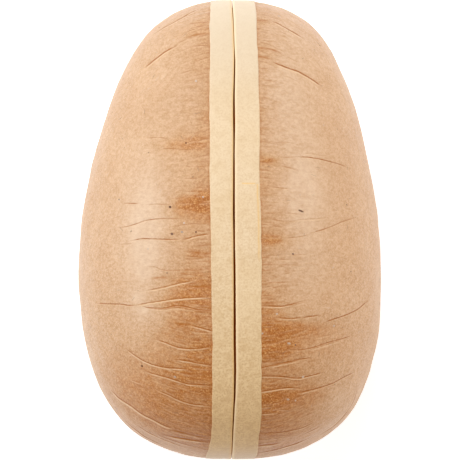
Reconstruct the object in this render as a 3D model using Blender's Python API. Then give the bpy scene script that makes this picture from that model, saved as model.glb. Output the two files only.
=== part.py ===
"""A shut two-part papier-mache egg box, lying on its side.

Two kraft paper half shells meet at a seam that runs lengthwise round the egg. A paper tape binds
each rim, and an inner collar joins the halves and shows as a dark line in the seam. The egg lies
as it comes to rest: the long axis runs along Y, the narrow end points to +Y and dips a little.
Every surface is the same egg formula on a unit sphere, so the layers stay an even gap apart.
"""

import math

import bmesh
import bpy
from mathutils import Matrix, Vector

MM = 0.001

# The egg's round outline, before its rim band is pressed straight
ROUND_LENGTH = 151.2 * MM
ROUND_WIDTH = 97.8 * MM
TAPER = -0.154
END_FULLNESS = 0.132
END_BLUNTNESS = 0.237

# The left half bulges more at its middle than the right half, and less near its rim
BULGE_RISE = 0.034
BULGE_RIM = -0.018

# Near the seam the mould runs straight, so the shell is flat across this share of the half width
RIM_FLATNESS = 0.008
RIM_BAND = 0.12

# The seam is nearly shut at the narrow end and opens towards the blunt end, between these shares of
# the half length
GAP_NARROW = 0.40 * MM
GAP_WIDE = 0.90 * MM
GAP_NARROW_AT = 0.85
GAP_WIDE_AT = -0.35

# Paper tape folded over each rim. Its inner edge follows the shell, its outer edge wanders a little
TAPE_THICKNESS = 0.40 * MM
TAPE_PROUD = 0.30 * MM
TAPE_WIDTH = {"left": 7.6 * MM, "right": 8.0 * MM}
TAPE_SPREAD = 0.35 * MM
TAPE_WAVES = ((1, math.pi, 1.0), (2, 1.0, 0.4))
TAPE_FOLD = 1.9 * MM
FOLD_ROUND = 0.25 * MM

# Inner collar, a band of card with what can't be seen inside it taken as solid
COLLAR_INSET = 2.3 * MM
COLLAR_REACH = 5.0 * MM

# Touching pieces keep this clearance
CLEARANCE = 0.3 * MM

# Soft folds left where wet paper was pressed over the mould, deepest a little way in from the tape.
# Each wave here and on the tape's edge is its count round the rim, its phase and its weight
PUCKER_HEIGHT = 0.30 * MM
PUCKER_WAVES = ((11, 0.6, 0.45), (17, 2.1, 0.35), (23, 4.0, 0.20))
PUCKER_START = 9.0 * MM
PUCKER_END = 48.0 * MM

# The egg rests on a small flat pressed into the two tapes
REST_FLAT_DEPTH = 0.30 * MM

# Faces round the rim, and rings of faces from the rim to a half's outermost point
AROUND = 96
SHELL_RINGS = 14

# How finely the outline is followed where a length or a balance is worked out from it
PROFILE_STEPS = 500
RIM_STEPS = 720
SEARCH_STEPS = 50
SHARE_STEPS = 6
STEEPEST_REST = 0.6
OUTER_LINE = 2 * MM

SMOOTH_UNDER = math.radians(35)
SIDES = {"left": -1, "right": 1}

KRAFT = (0.60, 0.36, 0.19)
CREAM = (0.80, 0.64, 0.42)
CARD = (0.16, 0.06, 0.025)


def taper(t):
    """Width of the egg at t, from -1 at the blunt end to 1 at the narrow end, as a share."""
    return 1 + TAPER * t + END_FULLNESS * t**2 + END_BLUNTNESS * t**4


def taper_slope(t):
    return TAPER + 2 * END_FULLNESS * t + 4 * END_BLUNTNESS * t**3


def smooth_step(low, high, value):
    share = min(1.0, max(0.0, (value - low) / (high - low)))
    return share * share * (3 - 2 * share)


def ring_size(sx):
    """Size of the egg-shaped ring at sx, a share of the half width, pressed straight near the rim."""
    return math.sqrt(max(0.0, 1 - sx * sx)) - RIM_FLATNESS * math.exp(-((sx / RIM_BAND) ** 2))


def side_bulge(side, sx):
    """Makes the left half fuller than the right one."""
    return 1 - SIDES[side] * (BULGE_RIM + BULGE_RISE * sx * sx)


def half_gap(t):
    """Half the seam's width at t along the egg."""
    shut = smooth_step(GAP_WIDE_AT, GAP_NARROW_AT, t)
    return (GAP_WIDE + (GAP_NARROW - GAP_WIDE) * shut) / 2


def waves(rows, alpha):
    """Sum of waves round the rim."""
    return sum(weight * math.sin(count * alpha + phase) for count, phase, weight in rows)


def tape_edge(side, alpha):
    """Distance of a tape's outer edge from the seam plane: hand-laid tape wanders a little."""
    return TAPE_WIDTH[side] + TAPE_SPREAD * waves(TAPE_WAVES, alpha)


def share_at(side, x, alpha):
    """The share sx of the half width that lies x from the seam plane at the rim angle alpha."""
    sx = x / (ROUND_WIDTH / 2)
    for _ in range(SHARE_STEPS):
        t = ring_size(sx) * math.sin(alpha)
        sx = x / (ROUND_WIDTH / 2 * taper(t) * side_bulge(side, sx))
    return sx


def rim_point(side, x, alpha, offset):
    """A point x from the seam plane, offset outwards from the shell within its own ring's plane."""
    sx = share_at(side, x, alpha)
    size = ring_size(sx)
    t = size * math.sin(alpha)
    sz = size * math.cos(alpha)
    wide = ROUND_WIDTH / 2 * taper(t)
    normal_y = (t - taper_slope(t) / taper(t) * (sx * sx + sz * sz)) / (ROUND_LENGTH / 2)
    normal = Vector((0, normal_y, sz / wide)).normalized()
    return Vector((SIDES[side] * x, ROUND_LENGTH / 2 * t, wide * sz)) + normal * offset


def pucker(alpha, reach):
    """Height of the soft folds, at a distance from the tape's edge along the shell."""
    fade = smooth_step(0, PUCKER_START, reach) * (1 - smooth_step(PUCKER_START, PUCKER_END, reach))
    return PUCKER_HEIGHT * fade * waves(PUCKER_WAVES, alpha)


def shell_point(side, sx, alpha, reach):
    """A point on the bare shell, with its soft folds."""
    size = ring_size(sx)
    t = size * math.sin(alpha)
    sz = size * math.cos(alpha)
    wide = ROUND_WIDTH / 2 * taper(t)
    deep = wide * side_bulge(side, sx)
    normal_y = (t - taper_slope(t) / taper(t) * (1 - t * t)) / (ROUND_LENGTH / 2)
    normal = Vector((SIDES[side] * sx / deep, normal_y, sz / wide)).normalized()
    point = Vector((SIDES[side] * deep * sx, ROUND_LENGTH / 2 * t, wide * sz))
    return point + normal * pucker(alpha, reach)


def along(alpha):
    """Position along the egg at the rim angle alpha: 0 on top, a quarter turn at the narrow end."""
    return ring_size(0) * math.sin(alpha)


def profile(start, end):
    """Evenly spaced positions along the egg."""
    return [start + (end - start) * k / PROFILE_STEPS for k in range(PROFILE_STEPS + 1)]


def resting_tilt():
    """How far the narrow end dips when the egg lies balanced on its side."""
    discs = [(t, (1 - t * t) * taper(t) ** 2) for t in profile(-1, 1)]
    balance = sum(t * area for t, area in discs) / sum(area for _, area in discs)
    shape = ROUND_WIDTH / ROUND_LENGTH

    def lean(t):
        """Radius times its slope at t, which is how far the surface normal there leans."""
        return shape**2 * (-t * taper(t) ** 2 + (1 - t * t) * taper(t) * taper_slope(t))

    low, high = -STEEPEST_REST, STEEPEST_REST
    for _ in range(SEARCH_STEPS):
        middle = (low + high) / 2
        if middle + lean(middle) < balance:
            low = middle
        else:
            high = middle
    radius = shape * math.sqrt(1 - low * low) * taper(low)
    return math.atan(-lean(low) / radius)


def outer_rim():
    """The tape's outermost line all the way round, which meets the floor and both ends of the box."""
    turns = [2 * math.pi * k / RIM_STEPS for k in range(RIM_STEPS)]
    return [rim_point("right", OUTER_LINE, alpha, TAPE_PROUD) for alpha in turns]


TILT = resting_tilt()
UP = Vector((0, -math.sin(TILT), math.cos(TILT)))
ALONG_FLOOR = Vector((0, math.cos(TILT), math.sin(TILT)))
FLOOR = min(point.dot(UP) for point in outer_rim()) + REST_FLAT_DEPTH


def settled(point, offset):
    """Presses what would lie under the floor up to it, each layer by its own depth under the tape."""
    height = point.dot(UP) - FLOOR
    lowest = TAPE_PROUD - offset
    return point + UP * max(0.0, lowest - height)


def material(name, colour, roughness):
    made = bpy.data.materials.new(name)
    made.use_nodes = True
    shader = made.node_tree.nodes["Principled BSDF"]
    shader.inputs["Base Color"].default_value = (*colour, 1)
    shader.inputs["Roughness"].default_value = roughness
    shader.inputs["Metallic"].default_value = 0
    return made


def finished(name, mesh_data, finish, rest, parts):
    """Closes a mesh into an object of the egg, with its faces outwards and smooth."""
    if mesh_data.calc_volume(signed=True) < 0:
        bmesh.ops.reverse_faces(mesh_data, faces=mesh_data.faces)
    mesh = bpy.data.meshes.new(name)
    mesh_data.to_mesh(mesh)
    mesh_data.free()
    mesh.materials.append(finish)
    mesh.shade_smooth()
    mesh.set_sharp_from_angle(angle=SMOOTH_UNDER)
    obj = bpy.data.objects.new(name, mesh)
    parts.objects.link(obj)
    obj.parent = rest
    return obj


def reshaped_sphere(rings, place):
    """A sphere whose rings go where place(ring, alpha) says. Ring 0 and the last one are its poles."""
    shape = bmesh.new()
    bmesh.ops.create_uvsphere(shape, u_segments=AROUND, v_segments=rings, radius=1)
    for vertex in shape.verts:
        ring = round(math.acos(max(-1.0, min(1.0, vertex.co.z))) / math.pi * rings)
        alpha = math.atan2(vertex.co.y, vertex.co.x)
        vertex.co = place(ring, alpha)
    return shape


def pole_of_pocket(side, x):
    """Middle of a flat face that lies x from the seam plane."""
    points = [rim_point(side, x, quarter * math.pi / 2, 0) for quarter in range(4)]
    return sum(points, Vector()) / len(points)


def half_shell(side, finish, rest, parts):
    """One kraft half, solid behind its pocket for the collar, with a rebate where the tape lies."""
    pocket_floor = COLLAR_REACH + CLEARANCE
    pocket_wall = -(COLLAR_INSET - CLEARANCE)
    rebate = TAPE_PROUD - TAPE_THICKNESS - CLEARANCE

    def rim_face(alpha):
        return half_gap(along(alpha)) + TAPE_THICKNESS + CLEARANCE

    def rebate_end(alpha):
        return tape_edge(side, alpha) + CLEARANCE

    section = [
        (lambda alpha: pocket_floor, pocket_wall),
        (rim_face, pocket_wall),
        (rim_face, rebate),
        (rebate_end, rebate),
    ]
    rings = len(section) + 1 + SHELL_RINGS

    def place(ring, alpha):
        if ring == 0:
            return pole_of_pocket(side, pocket_floor)
        if ring <= len(section):
            x_at, offset = section[ring - 1]
            return settled(rim_point(side, x_at(alpha), alpha, offset), offset)
        share = (ring - len(section) - 1) / SHELL_RINGS
        start = math.asin(share_at(side, rebate_end(alpha), alpha))
        climb = (math.pi / 2 - start) * share
        reach = climb * ROUND_WIDTH / 2
        return settled(shell_point(side, math.sin(start + climb), alpha, reach), 0)

    return finished(f"shell_{side}", reshaped_sphere(rings, place), finish, rest, parts)


def rim_tape(side, finish, rest, parts):
    """Tape folded over a rim: one leg outside on the shell, a short one down over the rim's face."""
    inner = TAPE_PROUD - TAPE_THICKNESS

    def section(alpha):
        face = half_gap(along(alpha))
        edge = tape_edge(side, alpha)
        return (
            (edge, TAPE_PROUD),
            ((edge + face) / 2, TAPE_PROUD),
            (face + FOLD_ROUND, TAPE_PROUD),
            (face, TAPE_PROUD - FOLD_ROUND),
            (face, -TAPE_FOLD),
            (face + TAPE_THICKNESS, -TAPE_FOLD),
            (face + TAPE_THICKNESS, inner),
            ((edge + face) / 2, inner),
            (edge, inner),
        )

    corners = len(section(0))
    bpy.ops.mesh.primitive_torus_add(
        major_segments=AROUND, minor_segments=corners, major_radius=1, minor_radius=0.2
    )
    torus = bpy.context.object
    shape = bmesh.new()
    shape.from_mesh(torus.data)
    bpy.data.objects.remove(torus)
    for vertex in shape.verts:
        alpha = math.atan2(vertex.co.y, vertex.co.x)
        turn = math.atan2(vertex.co.z, math.hypot(vertex.co.x, vertex.co.y) - 1)
        corner = round(turn / (2 * math.pi) * corners) % corners
        x, offset = section(alpha)[corner]
        vertex.co = settled(rim_point(side, x, alpha, offset), offset)
    return finished(f"tape_{side}", shape, finish, rest, parts)


def collar(finish, rest, parts):
    """The joining collar across the seam, reaching into both pockets."""
    rings = (
        ("left", COLLAR_REACH),
        ("left", CLEARANCE),
        ("right", CLEARANCE),
        ("right", COLLAR_REACH),
    )

    def place(ring, alpha):
        if ring == 0:
            return pole_of_pocket("left", COLLAR_REACH)
        if ring > len(rings):
            return pole_of_pocket("right", COLLAR_REACH)
        side, x = rings[ring - 1]
        return settled(rim_point(side, x, alpha, -COLLAR_INSET), -COLLAR_INSET)

    shape = reshaped_sphere(len(rings) + 1, place)
    return finished("collar", shape, finish, rest, parts)


def resting_frame():
    """The empty that carries the egg: tilted to rest, its box centred over the origin."""
    rim = outer_rim()
    reaches = [point.dot(ALONG_FLOOR) for point in rim]
    middle_y = (max(reaches) + min(reaches)) / 2
    widest = max(taper(t) * math.sqrt(1 - t * t) for t in profile(-1, 1))
    middle_x = -(BULGE_RIM + BULGE_RISE) * widest * ROUND_WIDTH / 2
    rest = bpy.data.objects.new("rest_frame", None)
    place = Matrix.Translation((-middle_x, -middle_y, -FLOOR))
    rest.matrix_world = place @ Matrix.Rotation(-TILT, 4, "X")
    return rest


def main():
    for obj in list(bpy.data.objects):
        bpy.data.objects.remove(obj)
    parts = bpy.data.collections.new("paper_egg_box")
    bpy.context.scene.collection.children.link(parts)
    rest = resting_frame()
    parts.objects.link(rest)
    kraft = material("kraft_paper", KRAFT, 0.75)
    cream = material("cream_tape", CREAM, 0.70)
    card = material("collar_card", CARD, 0.85)
    for side in SIDES:
        half_shell(side, kraft, rest, parts)
        rim_tape(side, cream, rest, parts)
    collar(card, rest, parts)


main()
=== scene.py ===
import math

import bmesh
import bpy
import numpy as np
from mathutils import Euler, Matrix, Vector
from mathutils.bvhtree import BVHTree


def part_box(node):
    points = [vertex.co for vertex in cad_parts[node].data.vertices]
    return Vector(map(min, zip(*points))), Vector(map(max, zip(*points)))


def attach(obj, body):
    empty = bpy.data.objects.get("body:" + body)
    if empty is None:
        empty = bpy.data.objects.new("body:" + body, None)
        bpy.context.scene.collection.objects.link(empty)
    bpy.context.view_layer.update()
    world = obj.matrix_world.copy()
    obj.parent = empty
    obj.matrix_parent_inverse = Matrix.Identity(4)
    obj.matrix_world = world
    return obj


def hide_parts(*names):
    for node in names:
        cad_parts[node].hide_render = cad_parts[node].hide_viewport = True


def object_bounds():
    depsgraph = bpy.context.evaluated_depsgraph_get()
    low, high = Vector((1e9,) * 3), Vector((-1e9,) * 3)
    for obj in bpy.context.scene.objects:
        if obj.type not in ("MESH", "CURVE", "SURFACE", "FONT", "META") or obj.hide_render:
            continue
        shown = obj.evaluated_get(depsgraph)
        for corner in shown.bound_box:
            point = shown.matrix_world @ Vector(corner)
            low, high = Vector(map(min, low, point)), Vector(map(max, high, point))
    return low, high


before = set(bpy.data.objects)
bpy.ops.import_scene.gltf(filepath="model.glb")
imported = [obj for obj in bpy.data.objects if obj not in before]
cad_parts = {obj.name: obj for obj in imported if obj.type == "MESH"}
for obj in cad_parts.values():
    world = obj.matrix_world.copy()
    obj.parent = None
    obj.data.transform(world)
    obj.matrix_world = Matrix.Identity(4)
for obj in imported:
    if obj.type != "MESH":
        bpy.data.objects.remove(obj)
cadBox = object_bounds()
scene = bpy.context.scene
mm = 0.001

# The egg formula, the same as the solids have. Lengths are in metres
egg = {
    "length": 151.2 * mm,
    "width": 97.8 * mm,
    "taper": -0.154,
    "endFullness": 0.132,
    "endBluntness": 0.237,
    "bulgeRise": 0.034,
    "bulgeRim": -0.018,
    "rimFlatness": 0.008,
    "rimBand": 0.12,
    "restTilt": math.radians(5.7787),  # the narrow end dips as the egg lies balanced
    "restFlat": 0.3 * mm,
    "tapeProud": 0.3 * mm,
}
sides = {"left": -1, "right": 1}


def smoothStep(low, high, value):
    share = np.clip((value - low) / (high - low), 0, 1)
    return share * share * (3 - 2 * share)


def taperAt(t):  # width along the egg, t from -1 at the blunt end to 1 at the narrow end
    return 1 + egg["taper"] * t + egg["endFullness"] * t**2 + egg["endBluntness"] * t**4


def wideAt(t):
    return egg["width"] / 2 * taperAt(t)


def taperSlope(t):
    return egg["taper"] + 2 * egg["endFullness"] * t + 4 * egg["endBluntness"] * t**3


def ringSize(share):  # the egg-shaped ring at a share of the half width from the seam
    flat = egg["rimFlatness"] * np.exp(-((share / egg["rimBand"]) ** 2))
    return np.sqrt(np.clip(1 - share * share, 0, 1)) - flat


def sideBulge(side, share):
    return 1 - sides[side] * (egg["bulgeRim"] + egg["bulgeRise"] * share * share)


def shareAt(side, x, alpha):  # the share of the half width that lies x from the seam plane
    share = x / (egg["width"] / 2)
    for _ in range(6):
        t = ringSize(share) * np.sin(alpha)
        share = x / (wideAt(t) * sideBulge(side, share))
    return share


def rimPoints(side, x, alpha, offset):  # points x from the seam plane, offset outwards in the ring's plane
    share = shareAt(side, x, alpha)
    size = ringSize(share)
    t = size * np.sin(alpha)
    across = size * np.cos(alpha)
    wide = wideAt(t)
    outY = (t - taperSlope(t) / taperAt(t) * (share**2 + across**2)) / (egg["length"] / 2)
    outZ = across / wide
    longer = np.hypot(outY, outZ)
    y = egg["length"] / 2 * t + offset * outY / longer
    z = wide * across + offset * outZ / longer
    return np.stack([sides[side] * x + 0 * y, y, z], axis=-1)


def restPlacement():  # from the egg's own frame to where it lies
    turns = np.linspace(0, 2 * math.pi, 720, endpoint=False)
    turned = np.array(Matrix.Rotation(-egg["restTilt"], 3, "X"))
    rim = rimPoints("right", 2 * mm, turns, egg["tapeProud"]) @ turned.T
    seamX = (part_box("tape_left")[1].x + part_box("tape_right")[0].x) / 2
    middleY = (cadBox[0].y + cadBox[1].y) / 2 - (rim[:, 1].min() + rim[:, 1].max()) / 2
    lift = cadBox[0].z - egg["restFlat"] - rim[:, 2].min()
    return Matrix.Translation((seamX, middleY, lift)) @ Matrix.Rotation(-egg["restTilt"], 4, "X")


placement = restPlacement()
turnOnly = placement.to_3x3()


def placed(points):
    return points @ np.array(turnOnly).T + np.array(placement.translation)


def settled(points, offset):  # what would lie under the floor is pressed up to it
    points[:, 2] = np.maximum(points[:, 2], cadBox[0].z + egg["tapeProud"] - offset)
    return points


# The camera looks straight down on the long axis, a touch from the left. Pixels are of the 460 frame
view = {
    "distance": 1.0,
    "lens": 238.0,
    "sensor": 36.0,
    "pixels": 460,
    "turn": math.radians(0.8),
    "roll": math.radians(0.1),
    "eggCentre": (232.3, 229.4),
}
pixelReach = view["sensor"] / view["lens"] / view["pixels"]  # a pixel's width at a distance of one


def makeCamera():
    turned = turnOnly @ Euler((0, -view["turn"], view["roll"])).to_matrix()
    right, up, back = (turned.col[n].copy() for n in range(3))
    pixel = view["distance"] * pixelReach
    middle = view["pixels"] / 2
    aside = right * (middle - view["eggCentre"][0]) + up * (view["eggCentre"][1] - middle)
    data = bpy.data.cameras.new("photoCamera")
    data.lens = view["lens"]
    data.sensor_width = view["sensor"]
    camera = bpy.data.objects.new("photoCamera", data)
    camera.matrix_world = turned.to_4x4()
    camera.location = placement.translation + back * view["distance"] + aside * pixel
    scene.collection.objects.link(camera)
    scene.camera = camera
    return camera.location.copy(), right, up, back


eye, viewRight, viewUp, viewBack = makeCamera()


def photoRay(x, y):  # direction from the camera through a pixel of the photograph
    middle = view["pixels"] / 2
    aside = viewRight * (x - middle) * pixelReach + viewUp * (middle - y) * pixelReach
    return (aside - viewBack).normalized()


print("camera and egg frame ready")


def softField(points, wavelength, seed, waves=26):  # smooth random relief of about unit height
    draw = np.random.default_rng(seed)
    heading = draw.normal(size=(waves, 3))
    heading /= np.linalg.norm(heading, axis=1)[:, None]
    pace = 2 * math.pi / wavelength * draw.uniform(0.7, 1.3, size=(waves, 1))
    phase = draw.uniform(0, 2 * math.pi, size=waves)
    return np.cos(points @ (heading * pace).T + phase).sum(axis=1) * math.sqrt(2 / waves)


class Wire:  # a node's output, reckoned with like a number
    def __init__(self, tree, socket):
        self.tree = tree
        self.socket = socket

    def do(self, operation, *others):
        return calc(self.tree, operation, self, *others)

    def __add__(self, other):
        return self.do("ADD", other)

    def __sub__(self, other):
        return self.do("SUBTRACT", other)

    def __rsub__(self, other):
        return calc(self.tree, "SUBTRACT", other, self)

    def __mul__(self, other):
        return self.do("MULTIPLY", other)

    def __truediv__(self, other):
        return self.do("DIVIDE", other)

    def clamped(self):
        return self.do("MAXIMUM", 0.0).do("MINIMUM", 1.0)

    def ramp(self, low, high):  # climbs smoothly from 0 at low to 1 at high
        node = addNode(self.tree, "ShaderNodeMapRange", Value=self, From_Min=low, From_Max=high)
        node.interpolation_type = "SMOOTHSTEP"
        return Wire(self.tree, node.outputs["Result"])


def feed(tree, value, socket):
    if isinstance(value, Wire):
        value = value.socket
    if isinstance(value, bpy.types.NodeSocket):
        tree.links.new(value, socket)
    else:
        socket.default_value = value


def calc(tree, operation, *values):
    node = tree.nodes.new("ShaderNodeMath")
    node.operation = operation
    for socket, value in zip(node.inputs, values):
        feed(tree, value, socket)
    return Wire(tree, node.outputs[0])


def addNode(tree, kind, **inputs):
    node = tree.nodes.new(kind)
    for name, value in inputs.items():
        feed(tree, value, node.inputs[name.replace("_", " ")])
    return node


def split(tree, vector):
    outputs = addNode(tree, "ShaderNodeSeparateXYZ", Vector=vector).outputs
    return [Wire(tree, outputs[axis]) for axis in "XYZ"]


def socketKind(value):
    return "Int" if isinstance(value, int) else "Float" if isinstance(value, float) else "Material"


def newTree(name, inputs):
    tree = bpy.data.node_groups.new(name, "GeometryNodeTree")
    for way in ("INPUT", "OUTPUT"):
        tree.interface.new_socket("Geometry", in_out=way, socket_type="NodeSocketGeometry")
    for label, value in inputs.items():
        kind = "NodeSocket" + socketKind(value)
        tree.interface.new_socket(label, in_out="INPUT", socket_type=kind)
    given = tree.nodes.new("NodeGroupInput").outputs
    return tree, {label: Wire(tree, given[label]) for label in ["Geometry"] + list(inputs)}


def endTree(tree, geometry, paper, *kinds):
    for kind in kinds:
        geometry = addNode(tree, kind, Geometry=geometry).outputs[0]
    painted = addNode(tree, "GeometryNodeSetMaterial", Geometry=geometry, Material=paper)
    tree.links.new(painted.outputs[0], tree.nodes.new("NodeGroupOutput").inputs[0])
    return tree


def growMesh(name, tree, values, base=None):  # runs a tree and keeps its result as a plain mesh
    maker = bpy.data.objects.new(name + "Maker", base or bpy.data.meshes.new(name + "Base"))
    scene.collection.objects.link(maker)
    modifier = maker.modifiers.new("maker", "NODES")
    modifier.node_group = tree
    for item in tree.interface.items_tree:
        if item.in_out == "INPUT" and item.name in values:
            modifier[item.identifier] = values[item.name]
    graph = bpy.context.evaluated_depsgraph_get()
    mesh = bpy.data.meshes.new_from_object(maker.evaluated_get(graph), depsgraph=graph)
    bpy.data.objects.remove(maker)
    mesh.name = name
    return mesh


# Materials
kraftLook = {
    # a pale paper tone, also the colour of the painted sheen patches
    "paleAndSheen": (0.8, 0.62, 0.455, 1),
    "pale": (0.7, 0.46, 0.265, 1),
    "middle": (0.64, 0.395, 0.21, 1),
    "deep": (0.52, 0.28, 0.12, 1),
    "stain": (0.555, 0.222, 0.043, 1),
    "stainDark": (0.38, 0.12, 0.018, 1),
    # the pale painted highlight on crease crests
    "worn": (0.83, 0.62, 0.4, 1),
    "gleam": (0.78, 0.47, 0.185, 1),
    # the two painted shades of crease grooves and of the tape's edge
    "ink": (0.385, 0.12, 0.006, 1),
    "warmShade": (0.43, 0.145, 0.012, 1),
    "roughness": 0.55,
    "gloss": 0.36,
    "sheen": 0.27,
    "grain": 0.24 * mm,
}
tapeLook = {
    "pale": (0.87, 0.735, 0.53, 1),
    "middle": (0.83, 0.68, 0.46, 1),
    "shade": (0.69, 0.51, 0.285, 1),
    # golden and fold are painted shade in the gap between the tapes; lit is also a painted highlight on the
    # rounded fold
    "goldenShade": (0.85, 0.58, 0.23, 1),
    "fold": (0.62, 0.18, 0.014, 1),
    "bluntEndTone": (0.815, 0.635, 0.35, 1),
    "lit": (0.98, 0.85, 0.6, 1),
    "bluntEndSheen": (0.69, 0.58, 0.47, 1),
    "narrowEndTone": (0.77, 0.67, 0.52, 1),
    "roughness": 0.6,
    "gloss": 0.3,
    "sheen": 0.1,
    "grain": 0.14 * mm,
}
collarLook = {
    "grain": 0.05 * mm,
    "deep": (0.2, 0.036, 0.003, 1),
    "pale": (0.42, 0.1, 0.008, 1),
    "roughness": 0.85,
    "gloss": 0.1,
}
fleckLook = {
    "dark": (0.11, 0.038, 0.022, 1),
    "pale": (0.7, 0.6, 0.52, 1),
    "dusty": kraftLook["deep"],
    "roughness": 0.7,
    "gloss": 0.15,
}


class Paint:  # a material whose colour is built up in layers of its look's colours
    def __init__(self, name, look, base):
        self.made = bpy.data.materials.new(name)
        self.made.use_nodes = True
        self.tree = self.made.node_tree
        self.look = look
        self.colour = look[base]
        self.shader = self.tree.nodes["Principled BSDF"].inputs
        self.shader["Roughness"].default_value = look["roughness"]
        self.shader["Specular IOR Level"].default_value = look.get("gloss", 0.5)
        self.shader["Sheen Weight"].default_value = look.get("sheen", 0)
        self.shader["Sheen Roughness"].default_value = 0.4
        self.where = addNode(self.tree, "ShaderNodeTexCoord").outputs["Object"]

    def noise(self, scale, detail=3.0, roughness=0.55):  # three scales draw the pattern out
        where = self.where
        if isinstance(scale, tuple):
            where = addNode(self.tree, "ShaderNodeMapping", Vector=where, Scale=scale).outputs["Vector"]
            scale = 1
        node = addNode(self.tree, "ShaderNodeTexNoise", Vector=where, Scale=scale, Detail=detail)
        node.inputs["Roughness"].default_value = roughness
        return Wire(self.tree, node.outputs["Fac"])

    def read(self, name, output="Fac"):  # an attribute of the piece
        node = self.tree.nodes.new("ShaderNodeAttribute")
        node.attribute_name = name
        return Wire(self.tree, node.outputs[output])

    def tint(self, share, name):
        node = self.tree.nodes.new("ShaderNodeMix")
        node.data_type = "RGBA"
        for place, value in ((0, share), (6, self.colour), (7, self.look[name])):
            feed(self.tree, value, node.inputs[place])
        self.colour = node.outputs[2]

    def finish(self, height=None):
        self.tree.links.new(self.colour, self.shader["Base Color"])
        if height is not None:
            grain = self.look["grain"]
            bump = addNode(self.tree, "ShaderNodeBump", Height=height, Distance=grain, Strength=1.0)
            self.tree.links.new(bump.outputs["Normal"], self.shader["Normal"])
        return self.made


# How a crease is drawn: the crest's place and width are in widths of the groove
drawing = {"layers": 5, "reach": 2.2 * mm, "crestAt": 2.6, "crestWidth": 1.2, "wobble": 1.5, "bump": 0.2}


def drawnCreases(paint):  # the painted shade and painted highlight of every crease layer: dark is painted shade, warm is painted shade where the layer's value is below 0, and pale is a painted highlight on the crest
    wobble = (paint.noise(700, 3) - 0.5) * drawing["wobble"]

    def bell(gap, width):
        scaled = gap / width
        return (scaled * scaled * -1.0).do("EXPONENT")

    dark, warm, pale = 0.0, 0.0, 0.0
    for layer in range(drawing["layers"]):
        apart, ink, crestLight = split(paint.tree, paint.read("crease" + str(layer), "Vector"))
        gap = apart + wobble
        shaded = ink * bell(gap, 1.0)
        dark = shaded.do("MAXIMUM", dark)
        warm = (shaded * -1.0).do("MAXIMUM", warm)
        pale = (crestLight * bell(gap + drawing["crestAt"], drawing["crestWidth"])).do("MAXIMUM", pale)
    return dark, warm, pale


def makeKraft():
    paint = Paint("kraftPaper", kraftLook, "middle")
    cloudy = paint.noise(55, 3)
    blotchy = paint.noise(210, 4, 0.6)
    mottled = paint.noise((560, 820, 820), 4, 0.7)
    grainy = paint.noise(1900, 2, 0.6)
    freckled = paint.noise((800, 1300, 1300), 3, 0.7)
    streaky = paint.noise((110, 800, 800), 4, 0.6)  # runs square to the rim
    nearTape = paint.read("nearTape")
    stain = paint.read("stain")
    along = split(paint.tree, paint.where)[1]
    busy = along.ramp(0.03, -0.05) * 0.26 + 0.58  # busier towards the blunt end
    # below 0 the stain attribute is a painted sheen: pale, whitened patches where the paper catches light
    paleAndSheen = (stain * -1.0).clamped()
    plain = 1.0 - paleAndSheen * 0.68
    paint.tint(cloudy.ramp(0.32, 0.68), "pale")
    paint.tint(paleAndSheen, "paleAndSheen")
    paint.tint(blotchy.ramp(0.42, 0.72) * plain * 0.38, "deep")
    paint.tint(mottled.ramp(0.38, 0.64) * plain * busy, "deep")
    paint.tint(grainy.ramp(0.38, 0.68) * busy * 0.66, "paleAndSheen")
    paint.tint(streaky.ramp(0.45, 0.72) * nearTape * 0.75, "deep")
    patchy = paint.noise(450, 5, 0.7).ramp(0.28, 0.74) + 0.4
    wet = stain.do("MAXIMUM", 0.0) * patchy * (streaky.ramp(0.2, 0.7) + 0.5)
    soaked = 1.0 - (wet * -1.15).do("EXPONENT")
    paint.tint(soaked, "stain")
    paint.tint(soaked.do("POWER", 4.0) * 0.52, "stainDark")
    worked = soaked + nearTape * 0.35
    paint.tint(worked.do("MINIMUM", 1.0) * freckled.ramp(0.4, 0.62) * 0.84, "stainDark")
    paint.tint(worked * grainy.ramp(0.5, 0.68) * 0.7, "gleam")
    # the creases' painted shade in their grooves and painted highlight on their crests
    dark, warm, pale = drawnCreases(paint)
    worn = paint.read("worn").do("MAXIMUM", pale * mottled.ramp(0.05, 0.6))
    paint.tint(worn.do("MINIMUM", 0.9), "worn")
    paint.tint(warm.do("MINIMUM", 0.92), "warmShade")
    drawn = paint.read("ink").do("MAXIMUM", dark) * mottled.ramp(0.1, 0.5)
    paint.tint(drawn.do("MINIMUM", 0.95), "ink")
    height = mottled + grainy * 0.35 + blotchy * 0.8 + streaky * nearTape * 1.4
    return paint.finish(height + (pale - dark - warm) * drawing["bump"])


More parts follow.
